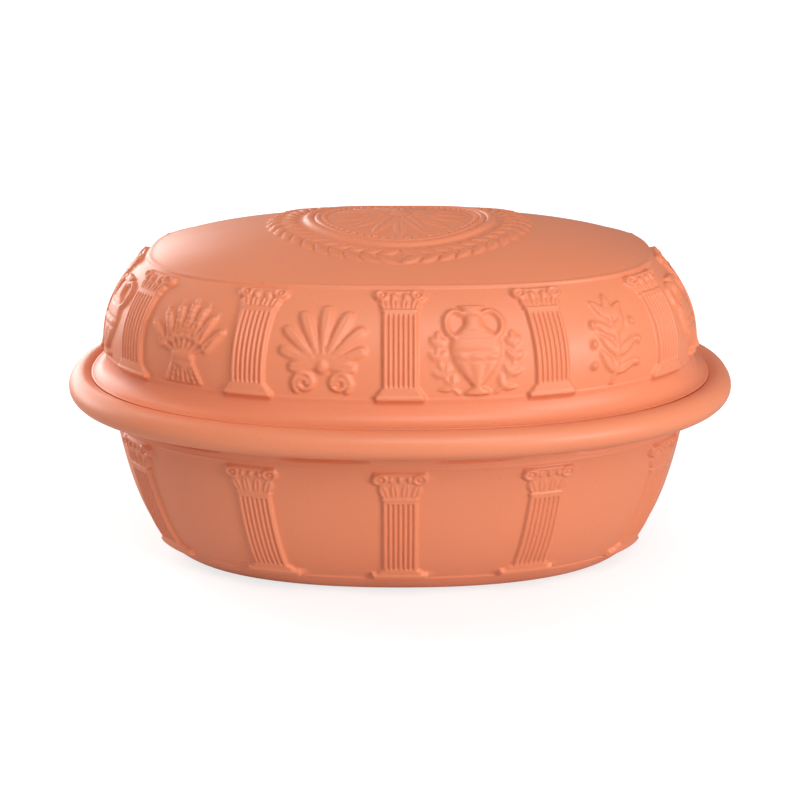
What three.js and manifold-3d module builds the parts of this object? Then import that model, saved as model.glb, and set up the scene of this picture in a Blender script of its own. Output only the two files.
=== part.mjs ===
// An oval unglazed clay roaster: a deep base and a domed lid that sits on its rim.
// Fluted pilasters with scrolled capitals are moulded on the walls of both.
import * as THREE from 'three';
import Module from 'manifold-3d';

const wasm = await Module();
wasm.setup();

// Sizes are in millimetres. +Z is up, X runs along the length, the front faces -Y and the
// pot stands on z = 0. Insets are measured inwards from the outline of the rim.

// Overall sizes.
const LENGTH = 345;
const WIDTH = 245;
const BASE_HEIGHT = 102;
const LID_HEIGHT = 82;
const WALL = 9;

// The oval is a superellipse: a power of 2 is a true ellipse and more is squarer.
const RIM_POWER = 2.2;
const CREASE_POWER = 2.58;

// Base: foot ring, heel, wall, rolled rim, the seat inside the rim's crown, and the ledge in the
// mouth for the lid's lip.
const FOOT_INSET = 60.3;
const FOOT_RING_WIDTH = 8;
const FOOT_RECESS = 1.5;
const HEEL_ANGLE = THREE.MathUtils.degToRad(34);
const HEEL_REACH = 6.2;
const BASE_WALL_INSET = 22.6;
const BASE_WALL_LEAN = THREE.MathUtils.degToRad(7.8);
const BASE_WALL_FULLNESS = 0.92;
const RIM_THICKNESS = 14.5;
const RIM_COVE = 4;
const SEAT_DROP = 3.6;
const LEDGE_WIDTH = 7.6;
const LEDGE_DEPTH = 4.5;
const FLOOR_CORNER = 6;

// Lid: lip, foot that sweeps up into the wall, crease and dome. Its heights start at its seat face.
const SEAT_GAP = 0.3;
const LIP_CLEARANCE = 1.5;
const LIP_FLOOR_GAP = 1;
const LIP_THICKNESS = 4;
const LID_EDGE_THICKNESS = 2.2;
const LID_FOOT_HEIGHT = 14.1;
const LID_WALL_INSET = 19.8;
const LID_WALL_LEAN = THREE.MathUtils.degToRad(2.2);
const LID_WALL_FULLNESS = 0.32;
const CREASE_HEIGHT = 63.9;
const CREASE_INSET = 44.5;
const CREASE_ANGLE = THREE.MathUtils.degToRad(40.7);
const CREASE_FULLNESS = 0.56;
const DOME_SHOULDER_RUN = 26;
const DOME_SHOULDER_RISE = 11;
const DOME_CROWN_RUN = 40;
const DOME_PINCH = 0.25;

// Oval frame raised on the middle of the dome.
const FRAME_LENGTH = 98;
const FRAME_WIDTH = 90;
const FRAME_BAND = 5;
const FRAME_PROUD = 1.4;

// Relief of the pilasters. Their heights are measured along the curve of the wall.
const RIBS = 7;
const FLUTE_DEPTH = 1;
const SHAFT_PROUD = 2.1;
const CAPITAL_PROUD = 2.6;
const PLINTH_PROUD = 2.9;
const SHAFT_TUCK = 1;
const RELIEF_ROOT = 3;

// The lid's pilasters run from its foot to just under its crease. One stands in the middle of each
// side and of each end, and two between, at shares of the way from a side to an end.
const LID_INNER_SHARE = 0.36;
const LID_OUTER_SHARE = 0.705;
const LID_PLINTH_SINK = 1;
const LID_SLAB_HEIGHT = 2.5;
const LID_SLOPE_HEIGHT = 3.5;
const LID_PLINTH_WIDTH = 24;
const LID_SHAFT_WIDTH = 16.4;
const LID_CAPITAL_DROP = 3.4;
const LID_CAPITAL_HEIGHT = 11;
const LID_CAPITAL_WIDTH = 24.5;
const LID_SCROLL_RADIUS = 2.6;

// A motif stands in each panel of the lid: a jar, a leafy spray, a sheaf or a fan, with jars in the
// narrow panels at the ends. Each is a ridged form, given by its half-widths at equal steps up the wall.
const MOTIF_FOOT = 2.5;
const MOTIF_HEIGHT = 44;
const MOTIF_PROUD = 1.9;
const MOTIF_EDGE_PROUD = 1;
const JAR_HALVES = [6, 6.5, 12, 12.5, 9, 6.5];
const SPRAY_HALVES = [2, 11, 14.5, 14.5, 12, 3];
const SHEAF_HALVES = [10, 5, 9, 14, 16.5, 9];
const FAN_HALVES = [14, 12, 17, 19, 15, 5];

// The base's pilasters stand in fives on its long sides, at arcs from the middle of each side.
const BASE_INNER_ARC = 74.5;
const BASE_OUTER_ARC = 150;
const BASE_PLINTH_RISE = 20;
const BASE_SLAB_HEIGHT = 4;
const BASE_SLOPE_HEIGHT = 3;
const BASE_PLINTH_WIDTH = 28;
const BASE_SHAFT_WIDTH = 17;
const BASE_CAPITAL_DROP = 8.5;
const BASE_CAPITAL_HEIGHT = 14.5;
const BASE_CAPITAL_WIDTH = 27;
const BASE_SCROLL_RADIUS = 2.9;

// Facets.
const AROUND = 48;
const WALL_STEPS = 5;
const INSIDE_STEPS = 4;
const EDGE_STEPS = 6;
const ROLL_STEPS = 2;
const COVE_STEPS = 2;
const FOOT_STEPS = 3;
const DOME_STEPS = 5;
const LID_SHAFT_STEPS = 2;
const BASE_SHAFT_STEPS = 2;
const SCROLL_STEPS = 4;
const FRAME_SIDES = 36;
const FRAME_STEPS = 2;
const WALK_STEPS = 360;

const CLAY_ROUGHNESS = 0.75;

// Heights, insets and ends that follow from the sizes above.
const FRONT = -Math.PI / 2;
const at = (inset, z) => new THREE.Vector2(inset, z);
const rimUnder = BASE_HEIGHT - RIM_THICKNESS;
const wallHeadZ = rimUnder - RIM_COVE;
const mouthInset = BASE_WALL_INSET + WALL;
const ledgeInset = mouthInset - LEDGE_WIDTH;
const rimRadius = RIM_THICKNESS / 2;
const rollAngle = Math.acos(1 - SEAT_DROP / rimRadius);
const rimSeatZ = BASE_HEIGHT - SEAT_DROP;
const ledgeZ = rimSeatZ - LEDGE_DEPTH;
const seatZ = rimSeatZ + SEAT_GAP;
const lipOuterInset = ledgeInset + LIP_CLEARANCE;
const lipInnerInset = lipOuterInset + LIP_THICKNESS;
const lipZ = ledgeZ + LIP_FLOOR_GAP;
const edgeRadius = LID_EDGE_THICKNESS / 2;
const edgeRise = seatZ + edgeRadius - (BASE_HEIGHT - rimRadius);
const edgeReach = Math.sqrt((rimRadius + edgeRadius + SEAT_GAP) ** 2 - edgeRise ** 2);
const lidEdgeInset = rimRadius + edgeReach - edgeRadius;
const lidFootZ = seatZ + LID_FOOT_HEIGHT;
const topZ = seatZ + LID_HEIGHT;
const crease = at(CREASE_INSET, seatZ + CREASE_HEIGHT);
const innerCrease = at(CREASE_INSET + WALL / 2, crease.y - WALL);

// One level of an oval body: half its length and width, its height and its squareness.
function ringAt(inset, z, power) {
  return { a: LENGTH / 2 - inset, b: WIDTH / 2 - inset, z, power };
}

// The point of a ring at a turning angle, counted from +X towards +Y.
function ringPoint(ring, angle) {
  const c = Math.cos(angle);
  const s = Math.sin(angle);
  const reach = (Math.abs(c) ** ring.power + Math.abs(s) ** ring.power) ** (-1 / ring.power);
  return new THREE.Vector3(ring.a * c * reach, ring.b * s * reach, ring.z);
}

// Turning angles at given lengths round a ring, walked from the middle of its front.
// A function is given the whole way round and returns the lengths.
function anglesRound(ring, lengthsFor) {
  const stops = Array.from({ length: WALK_STEPS + 1 }, (_, i) => FRONT + (i * 2 * Math.PI) / WALK_STEPS);
  const walked = [0];
  stops.slice(1).forEach((angle, i) => {
    const step = ringPoint(ring, angle).distanceTo(ringPoint(ring, stops[i]));
    walked.push(walked[i] + step);
  });
  const whole = walked[WALK_STEPS];
  return lengthsFor(whole).map((length) => {
    const wanted = THREE.MathUtils.euclideanModulo(length, whole);
    const next = Math.max(1, walked.findIndex((done) => done >= wanted));
    const share = THREE.MathUtils.inverseLerp(walked[next - 1], walked[next], wanted);
    return THREE.MathUtils.lerp(stops[next - 1], stops[next], share);
  });
}

const equalSteps = (count) => (whole) => Array.from({ length: count }, (_, i) => (i * whole) / count);

// A half-round edge from its lower to its upper end, bulging outwards to an inset.
function roundEdge(inset, lowZ, thickness) {
  const r = thickness / 2;
  const curve = new THREE.EllipseCurve(inset + r, lowZ + r, r, r, -Math.PI / 2, Math.PI / 2, true);
  return curve.getPoints(EDGE_STEPS);
}

// The rim's roll past its crown, down to the seat inside it.
function rimRoll() {
  const r = rimRadius;
  const crown = Math.PI / 2;
  const curve = new THREE.EllipseCurve(r, BASE_HEIGHT - r, r, r, crown, crown - rollAngle, true);
  return curve.getPoints(ROLL_STEPS).slice(1);
}

// A curve that leaves one point and arrives at another along given slopes.
function sweep(from, fromSlope, fromReach, to, toSlope, toReach) {
  const leave = at(Math.cos(fromSlope), Math.sin(fromSlope)).multiplyScalar(fromReach).add(from);
  const arrive = at(Math.cos(toSlope), Math.sin(toSlope)).multiplyScalar(-toReach).add(to);
  return new THREE.CubicBezierCurve(from, leave, arrive, to);
}

// A wall of a body: its curve of inset against height, and its squareness at each height.
function baseWallCurve(foot, head) {
  const reach = BASE_WALL_FULLNESS * (head.y - foot.y);
  return sweep(foot, Math.PI - HEEL_ANGLE, HEEL_REACH, head, Math.PI / 2 + BASE_WALL_LEAN, reach);
}

function lidWallCurve(foot, head) {
  const rise = head.y - foot.y;
  const footSlope = Math.PI / 2 - LID_WALL_LEAN;
  return sweep(foot, footSlope, LID_WALL_FULLNESS * rise, head, CREASE_ANGLE, CREASE_FULLNESS * rise);
}

const baseWall = {
  curve: baseWallCurve(at(FOOT_INSET, 0), at(BASE_WALL_INSET, wallHeadZ)),
  power: () => RIM_POWER,
};

const lidWall = {
  curve: lidWallCurve(at(LID_WALL_INSET, lidFootZ), crease),
  power: (z) => {
    const share = THREE.MathUtils.clamp((z - lidFootZ) / (crease.y - lidFootZ), 0, 1);
    return THREE.MathUtils.lerp(RIM_POWER, CREASE_POWER, share);
  },
};

// The dome's curve of half-length against height, from its edge to its middle.
function domeCurve(edge, middleZ) {
  const half = LENGTH / 2 - edge.x;
  const shoulder = at(half - DOME_SHOULDER_RUN, edge.y + DOME_SHOULDER_RISE);
  return new THREE.CubicBezierCurve(
    at(half, edge.y), shoulder, at(DOME_CROWN_RUN, middleZ), at(0, middleZ));
}

// One ring of the dome, which narrows a little faster than it shortens.
function domeRing(edge, half, z) {
  const rim = ringAt(edge.x, edge.y, CREASE_POWER);
  const share = half / rim.a;
  return { ...rim, a: half, b: rim.b * share * (1 - DOME_PINCH * (1 - share)), z };
}

// The dome's rings between its edge and its middle.
function domeRings(edge, middleZ) {
  const inner = domeCurve(edge, middleZ).getPoints(DOME_STEPS).slice(1, -1);
  return inner.map((p) => domeRing(edge, p.x, p.y));
}

function solidOf(points, triangles) {
  const vertProperties = new Float32Array(points.flatMap((p) => p.toArray()));
  const triVerts = new Uint32Array(triangles.flat());
  return new wasm.Manifold(new wasm.Mesh({ numProp: 3, vertProperties, triVerts }));
}

// Triangles between a closed loop of points and the next one.
function bridge(from, to, count) {
  return Array.from({ length: count }, (_, j) => (j + 1) % count).flatMap((k, j) => [
    [from + j, from + k, to + k],
    [from + j, to + k, to + j],
  ]);
}

// Triangles between loops that follow each other, and the same over flat ends.
function stack(loops, count) {
  return Array.from({ length: loops - 1 }, (_, i) => bridge(i * count, (i + 1) * count, count)).flat();
}

function ends(outline, lastStart) {
  const faces = THREE.ShapeUtils.triangulateShape(outline, []);
  const last = faces.map((face) => face.map((i) => i + lastStart));
  return [...faces.map(([i, j, k]) => [i, k, j]), ...last];
}

// A closed oval body from its rings, with a middle point at each end.
function ovalBody(rings, firstZ, lastZ) {
  const angles = anglesRound(ringAt(0, 0, RIM_POWER), equalSteps(AROUND));
  const points = rings.flatMap((ring) => angles.map((angle) => ringPoint(ring, angle)));
  const triangles = stack(rings.length, AROUND);
  const lastStart = points.length - AROUND;
  const first = points.push(new THREE.Vector3(0, 0, firstZ)) - 1;
  const last = points.push(new THREE.Vector3(0, 0, lastZ)) - 1;
  angles.forEach((_, j) => {
    const k = (j + 1) % AROUND;
    triangles.push([first, k, j], [last, lastStart + j, lastStart + k]);
  });
  return solidOf(points, triangles);
}

// A point on a wall: a length across from a turning angle, a length up the wall's curve, and
// how far it stands out from the wall.
function onWall(wall, angle, across, up, proud) {
  const share = THREE.MathUtils.clamp(up / wall.curve.getLength(), 0, 1);
  const foot = wall.curve.getPointAt(share);
  const along = wall.curve.getTangentAt(share);
  const out = at(-along.y, along.x).multiplyScalar(proud);
  const sunk = along.multiplyScalar(Math.min(0, up));
  const place = foot.add(out).add(sunk);
  const ring = ringAt(place.x, place.y, wall.power(place.y));
  const turn = Math.PI / WALK_STEPS;
  const span = ringPoint(ring, angle + turn).distanceTo(ringPoint(ring, angle - turn));
  return ringPoint(ring, angle + (across * 2 * turn) / span);
}

// A raised shape on a wall, from an outline of lengths across and up.
function raised(wall, angle, outline, proud) {
  const count = outline.length;
  const points = [-RELIEF_ROOT, proud].flatMap((depth) =>
    outline.map((p) => onWall(wall, angle, p.x, p.y, depth)));
  return solidOf(points, [...bridge(0, count, count), ...ends(outline, count)]);
}

// The outline of a plinth: a slab with shoulders that slope in to the shaft.
function plinthOutline(size) {
  const wide = size.plinthWidth / 2;
  const narrow = size.shaftWidth / 2;
  const slabTop = size.slabFoot + size.slabHeight;
  const head = slabTop + size.slopeHeight;
  return [
    at(-wide, size.slabFoot - size.sink), at(wide, size.slabFoot - size.sink), at(wide, slabTop),
    at(narrow, head), at(-narrow, head), at(-wide, slabTop),
  ];
}

// The outline of a capital: a bell that flares to a scroll at each side, under a flat top.
function capitalOutline(size) {
  const r = size.scrollRadius;
  const across = size.capitalWidth / 2 - r;
  const up = size.head - r;
  const foot = size.head - size.capitalHeight;
  const scroll = new THREE.EllipseCurve(across, up, r, r, -Math.PI / 2, Math.PI / 2);
  const right = scroll.getPoints(SCROLL_STEPS);
  const left = right.map((p) => at(-p.x, p.y)).reverse();
  return [at(-size.shaftWidth / 2, foot), at(size.shaftWidth / 2, foot), ...right, ...left];
}

// A raised form that follows a wall between two heights, from its sections at equal steps.
function follow(wall, angle, sections, low, high) {
  const steps = sections.length - 1;
  const count = sections[0].length;
  const points = sections.flatMap((section, i) => {
    const up = THREE.MathUtils.lerp(low, high, i / steps);
    return section.map((p) => onWall(wall, angle, p.x, up, p.y));
  });
  const plan = sections[0].map((p) => at(p.x, -p.y));
  return solidOf(points, [...stack(sections.length, count), ...ends(plan, steps * count)]);
}

// A ribbed shaft, the same all the way up.
function shaft(wall, angle, low, high, width, steps) {
  const front = Array.from({ length: 2 * RIBS + 1 }, (_, i) => at(
    (width * (i - RIBS)) / (2 * RIBS),
    i % 2 ? SHAFT_PROUD : SHAFT_PROUD - FLUTE_DEPTH));
  const section = [...front, at(width / 2, -RELIEF_ROOT), at(-width / 2, -RELIEF_ROOT)];
  return follow(wall, angle, new Array(steps + 1).fill(section), low, high);
}

// A whole pilaster: plinth, shaft and capital, with the shaft's ends tucked into the others.
function pilaster(wall, angle, size) {
  const low = size.slabFoot + size.slabHeight + size.slopeHeight - SHAFT_TUCK;
  const high = size.head - size.capitalHeight + SHAFT_TUCK;
  return [
    raised(wall, angle, plinthOutline(size), PLINTH_PROUD),
    shaft(wall, angle, low, high, size.shaftWidth, size.shaftSteps),
    raised(wall, angle, capitalOutline(size), CAPITAL_PROUD),
  ];
}

const lidPilaster = {
  sink: LID_PLINTH_SINK,
  slabFoot: 0,
  slabHeight: LID_SLAB_HEIGHT,
  slopeHeight: LID_SLOPE_HEIGHT,
  plinthWidth: LID_PLINTH_WIDTH,
  shaftWidth: LID_SHAFT_WIDTH,
  shaftSteps: LID_SHAFT_STEPS,
  head: lidWall.curve.getLength() - LID_CAPITAL_DROP,
  capitalHeight: LID_CAPITAL_HEIGHT,
  capitalWidth: LID_CAPITAL_WIDTH,
  scrollRadius: LID_SCROLL_RADIUS,
};

const basePilaster = {
  sink: 0,
  slabFoot: BASE_PLINTH_RISE,
  slabHeight: BASE_SLAB_HEIGHT,
  slopeHeight: BASE_SLOPE_HEIGHT,
  plinthWidth: BASE_PLINTH_WIDTH,
  shaftWidth: BASE_SHAFT_WIDTH,
  shaftSteps: BASE_SHAFT_STEPS,
  head: baseWall.curve.getLength() - BASE_CAPITAL_DROP,
  capitalHeight: BASE_CAPITAL_HEIGHT,
  capitalWidth: BASE_CAPITAL_WIDTH,
  scrollRadius: BASE_SCROLL_RADIUS,
};

// Turning angles of the base's pilasters: five about the middle of the front, five of the back.
function basePilasterAngles() {
  const arcs = [-BASE_OUTER_ARC, -BASE_INNER_ARC, 0, BASE_INNER_ARC, BASE_OUTER_ARC];
  const ring = ringAt(BASE_WALL_INSET, rimUnder, RIM_POWER);
  const bothSides = (whole) => [0, whole / 2].flatMap((middle) => arcs.map((arc) => middle + arc));
  return anglesRound(ring, bothSides);
}

// Turning angles of the lid's pilasters, and of the panels between them.
function lidAngles(lengthsFor) {
  const middle = lidWall.curve.getPointAt(1 / 2);
  return anglesRound(ringAt(middle.x, middle.y, lidWall.power(middle.y)), lengthsFor);
}

function pilasterPlaces(whole) {
  const shares = [0, LID_INNER_SHARE, LID_OUTER_SHARE, 1, 2 - LID_OUTER_SHARE, 2 - LID_INNER_SHARE];
  const half = shares.map((share) => (share * whole) / 4);
  return [...half, ...half.map((length) => length + whole / 2)];
}

function panelMiddles(whole) {
  const places = [...pilasterPlaces(whole), whole];
  return places.slice(1).map((place, i) => (place + places[i]) / 2);
}

// One motif: an edge, a ridge and an edge at each step, rooted in the wall.
function motif(wall, angle, halves) {
  const sections = halves.map((half) => [
    at(-half, MOTIF_EDGE_PROUD), at(0, MOTIF_PROUD), at(half, MOTIF_EDGE_PROUD),
    at(half, -RELIEF_ROOT), at(-half, -RELIEF_ROOT),
  ]);
  return follow(wall, angle, sections, MOTIF_FOOT, MOTIF_FOOT + MOTIF_HEIGHT);
}

// The oval frame on the dome: a half-round band that follows the dome's height.
function domeFrame() {
  const rings = domeCurve(crease, topZ).getPoints(WALK_STEPS).reverse().slice(1)
    .map((p) => domeRing(crease, p.x, p.y));
  const reach = (ring, x, y) => Math.abs(x / ring.a) ** ring.power + Math.abs(y / ring.b) ** ring.power;
  const heightAt = (x, y) => rings.find((ring) => reach(ring, x, y) <= 1).z;
  const half = FRAME_BAND / 2;
  const band = new THREE.EllipseCurve(0, 0, half, FRAME_PROUD, Math.PI, 0, true);
  const section = [at(-half, -RELIEF_ROOT), ...band.getPoints(FRAME_STEPS), at(half, -RELIEF_ROOT)];
  const count = section.length;
  const points = Array.from({ length: FRAME_SIDES }, (_, i) => (i * 2 * Math.PI) / FRAME_SIDES)
    .flatMap((angle) => section.map((p) => {
      const x = (FRAME_LENGTH / 2 - half + p.x) * Math.cos(angle);
      const y = (FRAME_WIDTH / 2 - half + p.x) * Math.sin(angle);
      return new THREE.Vector3(x, y, heightAt(x, y) + p.y);
    }));
  const close = bridge((FRAME_SIDES - 1) * count, 0, count);
  return solidOf(points, [...stack(FRAME_SIDES, count), ...close]);
}

function baseShell() {
  const floorEdge = at(FOOT_INSET + FLOOR_CORNER, WALL);
  const inside = baseWallCurve(floorEdge, at(mouthInset, wallHeadZ)).getPoints(INSIDE_STEPS).reverse();
  const footInner = FOOT_INSET + FOOT_RING_WIDTH;
  const wallHead = at(BASE_WALL_INSET, wallHeadZ);
  const coveCorner = at(BASE_WALL_INSET, rimUnder);
  const coveEnd = at(BASE_WALL_INSET - RIM_COVE, rimUnder);
  const cove = new THREE.QuadraticBezierCurve(wallHead, coveCorner, coveEnd);
  const section = [
    at(footInner + FOOT_RECESS, FOOT_RECESS),
    at(footInner, 0),
    ...baseWall.curve.getPoints(WALL_STEPS),
    ...cove.getPoints(COVE_STEPS).slice(1),
    ...roundEdge(0, rimUnder, RIM_THICKNESS),
    ...rimRoll(),
    at(ledgeInset, rimSeatZ),
    at(ledgeInset, ledgeZ),
    at(mouthInset, ledgeZ),
    ...inside,
  ];
  const rings = section.map((p) => ringAt(p.x, p.y, RIM_POWER));
  return ovalBody(rings, FOOT_RECESS, WALL);
}

function lidShell() {
  const wallFoot = at(LID_WALL_INSET, lidFootZ);
  const innerFoot = at(LID_WALL_INSET + WALL, lidFootZ);
  const edge = roundEdge(lidEdgeInset, seatZ, LID_EDGE_THICKNESS);
  const edgeTop = edge[EDGE_STEPS];
  const footCorner = at(LID_WALL_INSET, edgeTop.y);
  const inside = lidWallCurve(innerFoot, innerCrease).getPoints(INSIDE_STEPS).reverse();
  const foot = new THREE.QuadraticBezierCurve(edgeTop, footCorner, wallFoot);
  const section = [
    ...inside,
    at(lipInnerInset, seatZ),
    at(lipInnerInset, lipZ),
    at(lipOuterInset, lipZ),
    at(lipOuterInset, seatZ),
    ...edge,
    ...foot.getPoints(FOOT_STEPS).slice(1),
    ...lidWall.curve.getPoints(WALL_STEPS).slice(1),
  ];
  const rings = [
    ...domeRings(innerCrease, topZ - WALL).reverse(),
    ...section.map((p) => ringAt(p.x, p.y, lidWall.power(p.y))),
    ...domeRings(crease, topZ),
  ];
  return ovalBody(rings, topZ - WALL, topZ);
}

function clay(name, colour, shell, relief) {
  const mesh = relief.reduce((all, piece) => all.add(piece), shell).getMesh();
  const geometry = new THREE.BufferGeometry();
  geometry.setAttribute('position', new THREE.BufferAttribute(mesh.vertProperties, mesh.numProp));
  geometry.setIndex(new THREE.BufferAttribute(mesh.triVerts, 1));
  const look = { color: colour, roughness: CLAY_ROUGHNESS, metalness: 0 };
  const body = new THREE.Mesh(geometry, new THREE.MeshStandardMaterial(look));
  body.name = name;
  return body;
}

const roaster = new THREE.Group();
const basePilasters = basePilasterAngles().flatMap((angle) => pilaster(baseWall, angle, basePilaster));
const lidPilasters = lidAngles(pilasterPlaces).flatMap((angle) => pilaster(lidWall, angle, lidPilaster));
const kinds = [JAR_HALVES, SPRAY_HALVES, JAR_HALVES, JAR_HALVES, SHEAF_HALVES, FAN_HALVES];
const motifs = lidAngles(panelMiddles).map((angle, i) => motif(lidWall, angle, kinds[i % kinds.length]));
roaster.add(clay('roaster_base', '#e08c69', baseShell(), basePilasters));
roaster.add(clay('roaster_lid', '#e39170', lidShell(), [...lidPilasters, ...motifs, domeFrame()]));

export default roaster;
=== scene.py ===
import functools
import math

import bpy
import numpy as np
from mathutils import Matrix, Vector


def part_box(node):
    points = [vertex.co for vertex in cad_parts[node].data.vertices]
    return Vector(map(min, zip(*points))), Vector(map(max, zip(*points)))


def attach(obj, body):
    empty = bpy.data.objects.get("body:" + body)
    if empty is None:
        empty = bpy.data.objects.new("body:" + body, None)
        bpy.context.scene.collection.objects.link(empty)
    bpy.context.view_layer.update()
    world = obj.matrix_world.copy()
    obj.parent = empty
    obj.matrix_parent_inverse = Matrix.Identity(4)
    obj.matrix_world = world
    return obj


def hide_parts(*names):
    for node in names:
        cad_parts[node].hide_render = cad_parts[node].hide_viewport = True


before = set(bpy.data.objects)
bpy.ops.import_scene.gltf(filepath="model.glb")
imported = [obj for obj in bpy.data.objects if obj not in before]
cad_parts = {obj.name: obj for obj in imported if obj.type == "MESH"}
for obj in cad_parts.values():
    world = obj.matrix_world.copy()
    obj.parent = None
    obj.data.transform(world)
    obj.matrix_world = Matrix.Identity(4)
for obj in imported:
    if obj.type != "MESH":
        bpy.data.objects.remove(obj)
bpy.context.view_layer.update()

# An oval clay roaster. Both CAD nodes are replaced by closed skins of the same form, with the
# moulded relief worked out on fine grids. The part's sizes are in millimetres, the studio's in metres.

base_low, base_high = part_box("roaster_base")
lid_low, lid_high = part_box("roaster_lid")

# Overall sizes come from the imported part.
PART_LENGTH = 345.0
SCALE = (base_high.x - base_low.x) / PART_LENGTH
PART_WIDTH = (base_high.y - base_low.y) / SCALE
BASE_HEIGHT = base_high.z / SCALE
TOP = lid_high.z / SCALE
WALL = 9.0
FRONT = -math.pi / 2

# The oval is a superellipse, squarer at the crease than at the rim.
RIM_POWER = 2.2
CREASE_POWER = 2.58

# Section of the base, as insets from the rim's outline and heights.
FOOT_INSET = 60.3
FOOT_RING_WIDTH = 8.0
FOOT_RECESS = 1.5
HEEL_ANGLE = math.radians(34)
HEEL_REACH = 6.2
BASE_WALL_INSET = 22.6
BASE_WALL_LEAN = math.radians(7.8)
BASE_WALL_FULLNESS = 0.92
RIM_THICKNESS = 14.5
RIM_COVE = 4.0
SEAT_DROP = 3.6
LEDGE_WIDTH = 7.6
LEDGE_DEPTH = 4.5
FLOOR_CORNER = 6.0

# Section of the lid.
SEAT_GAP = 0.3
LIP_CLEARANCE = 1.5
LIP_FLOOR_GAP = 1.0
LIP_THICKNESS = 4.0
TOE_ANGLE = math.radians(35)
TOE_TIP = 0.4
LID_FOOT_HEIGHT = 14.1
LID_WALL_INSET = 19.8
LID_WALL_LEAN = math.radians(2.2)
LID_WALL_FULLNESS = 0.32
CREASE_HEIGHT = 63.9
CREASE_INSET = 44.5
CREASE_ANGLE = math.radians(40.7)
CREASE_FULLNESS = 0.56
DOME_SHOULDER_RUN = 26.0
DOME_SHOULDER_RISE = 11.0
DOME_CROWN_RUN = 40.0
DOME_PINCH = 0.25

# Broken corners of the sections.
HEEL_BREAK = 0.6
SEAT_BREAK = 0.8
LEDGE_BREAK = 0.6
MOUTH_BREAK = 1.0
LIP_BREAK = 0.8
LIP_ROOT_BREAK = 0.3

rim_under = BASE_HEIGHT - RIM_THICKNESS
wall_head_z = rim_under - RIM_COVE
mouth_inset = BASE_WALL_INSET + WALL
ledge_inset = mouth_inset - LEDGE_WIDTH
rim_radius = RIM_THICKNESS / 2
roll_angle = math.acos(1 - SEAT_DROP / rim_radius)
rim_seat_z = BASE_HEIGHT - SEAT_DROP
ledge_z = rim_seat_z - LEDGE_DEPTH
seat_z = rim_seat_z + SEAT_GAP
lip_outer = ledge_inset + LIP_CLEARANCE
lip_inner = lip_outer + LIP_THICKNESS
lip_z = ledge_z + LIP_FLOOR_GAP
lid_foot_z = seat_z + LID_FOOT_HEIGHT
crease = (CREASE_INSET, seat_z + CREASE_HEIGHT)
inner_crease = (CREASE_INSET + WALL / 2, crease[1] - WALL)

# Pilasters. Heights run up the curve of the wall.
RIBS = 7
FLUTE_DEPTH = 1.1
FLUTE_SHARE = 0.30
FLUTE_COLUMNS = (-1.0, -0.62, 0.0, 0.62, 1.0)
SHAFT_PROUD = 2.1
PLINTH_PROUD = 3.1
CAPITAL_PROUD = 2.6
STEP_PROUD = 0.4
SIDE_DRAFT = 1.1
FOLD = 0.7
NECK = 2.6
FLUTE_START = 0.9
ABACUS = 2.1
BASE_CAPITAL_DROP = 8.5
LID_CAPITAL_DROP = 3.4
PLINTH_SINK = 1.0
PLINTH_FOLD = 0.8
PLINTH_REACH = 2.5 * PLINTH_SINK

# Capitals: shares of the scroll's radius, of the shaft's half width and of the gap between beads. Each
# lobe stands at a share of the half width and leans by degrees.
ABACUS_PROUD = 0.72 * CAPITAL_PROUD
SCROLL_PROUD = CAPITAL_PROUD + 0.3
SCROLL_LONG = 1.4
SCROLL_TALL = 1.1
SCROLL_DROP = 0.4
SCROLL_RIM = 0.72
SCROLL_ROLL = 0.34
SCROLL_FLOOR = 0.55
SCROLL_FOLD = 0.6 * FOLD
BELL_PROUD = SHAFT_PROUD - 0.7
BELL_FLARE = 2.0
LOBES = ((0.27, 84), (0.76, 70))
LOBE_FOOT = 0.2
LOBE_TALL = 0.80
LOBE_WIDE = 0.6
BEAD_DROP = 0.32
BEAD_LONG = 0.38
BEAD_TALL = 0.46
NECK_RING_PROUD = SHAFT_PROUD + 0.4
NECK_RING_HALF = 0.9
NECK_RING_OUT = 0.6

# Places of the pilasters: shares of the way from the middle of a side of the lid to the middle of an
# end, and arcs from the middle of a side of the base.
LID_SHARES = (0.0, 0.36, 0.705, 1.0, 1.295, 1.64)
BASE_ARCS = (-150.0, -74.5, 0.0, 74.5, 150.0)

# Bands that run round the walls: over the foot, over the capitals and under the rim of the base, and at
# the foot and the crease of the lid.
FOOT_BAND_PROUD = 0.6
FOOT_BAND_DROP = 0.8
FOOT_BAND_FOLD = 0.9
FOOT_BAND_RUN = 4.0
HEAD_LINE_PROUD = 0.5
HEAD_LINE_LOW = 1.0
HEAD_LINE_HIGH = 2.2
HEAD_LINE_FOLD = 0.6
RIM_GROOVE_DEPTH = 1.6
RIM_GROOVE_HEIGHT = 3.5
RIM_GROOVE_FOLD = 1.5
LID_LEDGE_PROUD = 0.3
LID_LEDGE_HEIGHT = 0.8
CREASE_RIDGE_PROUD = 0.6
CREASE_RIDGE_HEIGHT = 1.3
LID_BAND_FOLD = 0.6

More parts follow.
